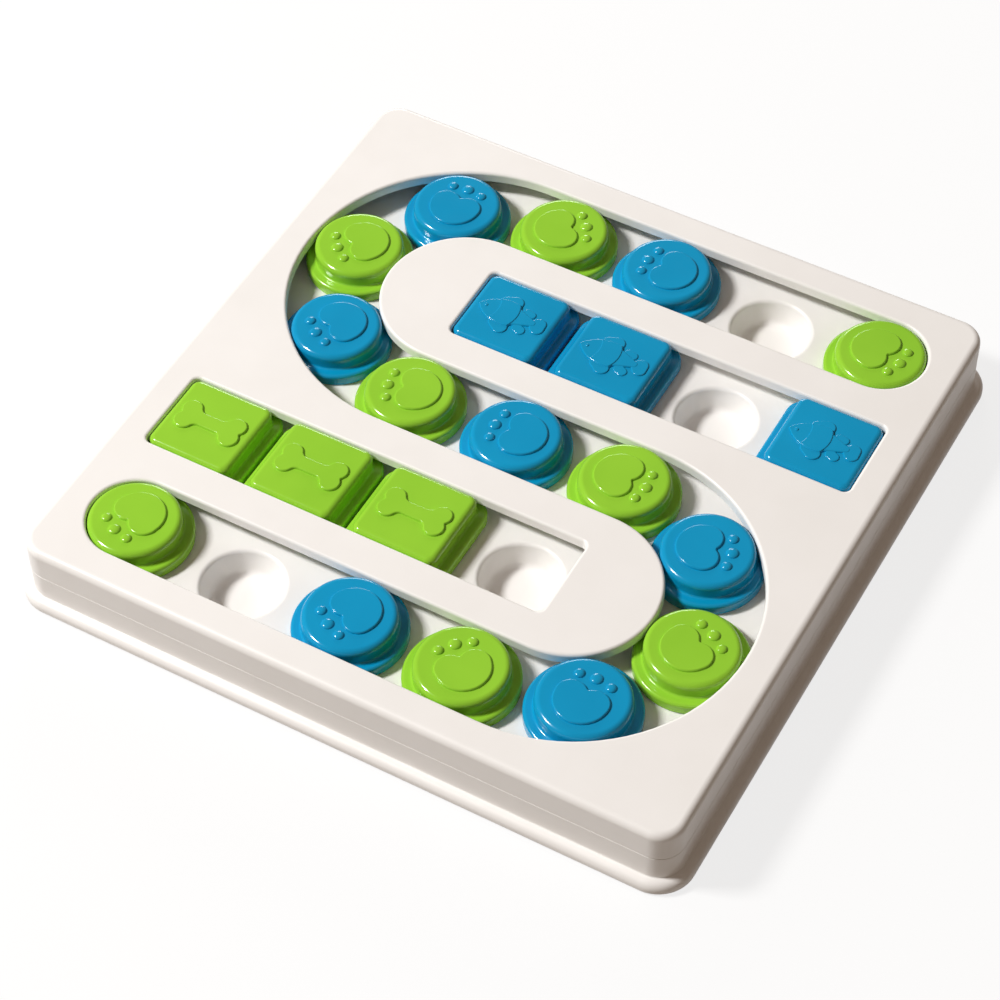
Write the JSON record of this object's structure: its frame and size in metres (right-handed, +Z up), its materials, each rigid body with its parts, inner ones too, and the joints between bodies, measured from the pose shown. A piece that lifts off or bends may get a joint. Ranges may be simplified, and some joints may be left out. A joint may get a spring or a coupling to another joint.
{
  "type": "puzzle feeder board",
  "caption": "Flat square puzzle feeder for a pet: coloured sliders run in an S-shaped slot and two straight slots of a white board and cover round food cups.",
  "frame": {"origin": "middle of the board's footprint, on the surface that it stands on", "axes": "+X to the right along the straight tracks, +Y from the front edge to the back edge, +Z up"},
  "size_m": [0.2986, 0.2986, 0.0347],
  "materials": {
    "white_plastic": "smooth warm-white moulded plastic, low gloss",
    "green_plastic": "glossy leaf-green moulded plastic",
    "blue_plastic": "glossy sky-blue moulded plastic",
    "screw_steel": "zinc-plated steel",
    "foot_rubber": "matt grey rubber"
  },
  "bodies": {
    "board": {"top_cover": "white_plastic", "base_tray": "white_plastic", "cover_screws": "screw_steel", "rubber_feet": "foot_rubber"},
    "paw_slider_01": {"paw_slider_01": "green_plastic"},
    "paw_slider_02": {"paw_slider_02": "blue_plastic"},
    "paw_slider_03": {"paw_slider_03": "green_plastic"},
    "paw_slider_04": {"paw_slider_04": "blue_plastic"},
    "paw_slider_05": {"paw_slider_05": "green_plastic"},
    "paw_slider_06": {"paw_slider_06": "blue_plastic"},
    "paw_slider_07": {"paw_slider_07": "green_plastic"},
    "paw_slider_08": {"paw_slider_08": "blue_plastic"},
    "paw_slider_09": {"paw_slider_09": "green_plastic"},
    "paw_slider_10": {"paw_slider_10": "blue_plastic"},
    "paw_slider_11": {"paw_slider_11": "green_plastic"},
    "paw_slider_12": {"paw_slider_12": "blue_plastic"},
    "paw_slider_13": {"paw_slider_13": "green_plastic"},
    "paw_slider_14": {"paw_slider_14": "blue_plastic"},
    "paw_slider_15": {"paw_slider_15": "green_plastic"},
    "fish_slider_1": {"fish_slider_1": "blue_plastic"},
    "fish_slider_2": {"fish_slider_2": "blue_plastic"},
    "fish_slider_3": {"fish_slider_3": "blue_plastic"},
    "bone_slider_1": {"bone_slider_1": "green_plastic"},
    "bone_slider_2": {"bone_slider_2": "green_plastic"},
    "bone_slider_3": {"bone_slider_3": "green_plastic"}
  },
  "joints": [
    {"name": "paw_slider_01_slide", "type": "slide", "parent": "board", "child": "paw_slider_01", "axis": [-1, 0, 0], "range_m": [0, 0.04954]},
    {"name": "paw_slider_02_slide", "type": "slide", "parent": "board", "child": "paw_slider_02", "axis": [-1, 0, 0], "range_m": [-0.04954, 0]},
    {"name": "paw_slider_03_slide", "type": "slide", "parent": "board", "child": "paw_slider_03", "axis": [-1, 0, 0], "range_m": [-0.04954, 0]},
    {"name": "paw_slider_04_swing", "type": "hinge", "parent": "board", "child": "paw_slider_04", "pos_m": [-0.0555, 0.0555, 0.021], "axis": [0, 0, 1], "range_deg": [-32.71, 0]},
    {"name": "paw_slider_05_swing", "type": "hinge", "parent": "board", "child": "paw_slider_05", "pos_m": [-0.0555, 0.0555, 0.021], "axis": [0, 0, 1], "range_deg": [-32.71, 0]},
    {"name": "paw_slider_06_swing", "type": "hinge", "parent": "board", "child": "paw_slider_06", "pos_m": [-0.0555, 0.0555, 0.021], "axis": [0, 0, 1], "range_deg": [-32.71, 0]},
    {"name": "paw_slider_07_swing", "type": "hinge", "parent": "board", "child": "paw_slider_07", "pos_m": [-0.0555, 0.0555, 0.021], "axis": [0, 0, 1], "range_deg": [-32.71, 0]},
    {"name": "paw_slider_08_slide", "type": "slide", "parent": "board", "child": "paw_slider_08", "axis": [1, 0, 0], "range_m": [-0.03169, 0]},
    {"name": "paw_slider_14_slide", "type": "slide", "parent": "board", "child": "paw_slider_14", "axis": [-1, 0, 0], "range_m": [0, 0.04954]},
    {"name": "paw_slider_13_slide", "type": "slide", "parent": "board", "child": "paw_slider_13", "axis": [-1, 0, 0], "range_m": [0, 0.04954]},
    {"name": "paw_slider_09_swing", "type": "hinge", "parent": "board", "child": "paw_slider_09", "pos_m": [0.0555, -0.0555, 0.021], "axis": [0, 0, -1], "range_deg": [0, 32.71]},
    {"name": "paw_slider_10_swing", "type": "hinge", "parent": "board", "child": "paw_slider_10", "pos_m": [0.0555, -0.0555, 0.021], "axis": [0, 0, -1], "range_deg": [0, 32.71]},
    {"name": "paw_slider_11_swing", "type": "hinge", "parent": "board", "child": "paw_slider_11", "pos_m": [0.0555, -0.0555, 0.021], "axis": [0, 0, -1], "range_deg": [0, 32.71]},
    {"name": "paw_slider_12_swing", "type": "hinge", "parent": "board", "child": "paw_slider_12", "pos_m": [0.0555, -0.0555, 0.021], "axis": [0, 0, -1], "range_deg": [0, 32.71]},
    {"name": "paw_slider_15_slide", "type": "slide", "parent": "board", "child": "paw_slider_15", "axis": [-1, 0, 0], "range_m": [-0.04954, 0]},
    {"name": "fish_slider_2_slide", "type": "slide", "parent": "board", "child": "fish_slider_2", "axis": [1, 0, 0], "range_m": [0, 0.04792]},
    {"name": "fish_slider_1_slide", "type": "slide", "parent": "board", "child": "fish_slider_1", "axis": [1, 0, 0], "range_m": [0, 0.04792]},
    {"name": "fish_slider_3_slide", "type": "slide", "parent": "board", "child": "fish_slider_3", "axis": [1, 0, 0], "range_m": [-0.04792, 0]},
    {"name": "bone_slider_3_slide", "type": "slide", "parent": "board", "child": "bone_slider_3", "axis": [1, 0, 0], "range_m": [0, 0.04792]},
    {"name": "bone_slider_1_slide", "type": "slide", "parent": "board", "child": "bone_slider_1", "axis": [1, 0, 0], "range_m": [0, 0.04792]},
    {"name": "bone_slider_2_slide", "type": "slide", "parent": "board", "child": "bone_slider_2", "axis": [1, 0, 0], "range_m": [0, 0.04792]}
  ],
  "couplings": [
    {"joint": "paw_slider_03_slide", "follows": "paw_slider_02_slide", "ratio": 1},
    {"joint": "paw_slider_04_swing", "follows": "paw_slider_02_slide", "rad_per_m": 11.521},
    {"joint": "paw_slider_05_swing", "follows": "paw_slider_02_slide", "rad_per_m": 11.521},
    {"joint": "paw_slider_06_swing", "follows": "paw_slider_02_slide", "rad_per_m": 11.521},
    {"joint": "paw_slider_07_swing", "follows": "paw_slider_02_slide", "rad_per_m": 11.521},
    {"joint": "paw_slider_08_slide", "follows": "paw_slider_02_slide", "ratio": 0.6394},
    {"joint": "paw_slider_13_slide", "follows": "paw_slider_14_slide", "ratio": 1},
    {"joint": "paw_slider_09_swing", "follows": "paw_slider_14_slide", "rad_per_m": 11.521},
    {"joint": "paw_slider_10_swing", "follows": "paw_slider_14_slide", "rad_per_m": 11.521},
    {"joint": "paw_slider_11_swing", "follows": "paw_slider_14_slide", "rad_per_m": 11.521},
    {"joint": "paw_slider_12_swing", "follows": "paw_slider_14_slide", "rad_per_m": 11.521},
    {"joint": "fish_slider_1_slide", "follows": "fish_slider_2_slide", "ratio": 1},
    {"joint": "bone_slider_1_slide", "follows": "bone_slider_3_slide", "ratio": 1},
    {"joint": "bone_slider_2_slide", "follows": "bone_slider_3_slide", "ratio": 1}
  ]
}
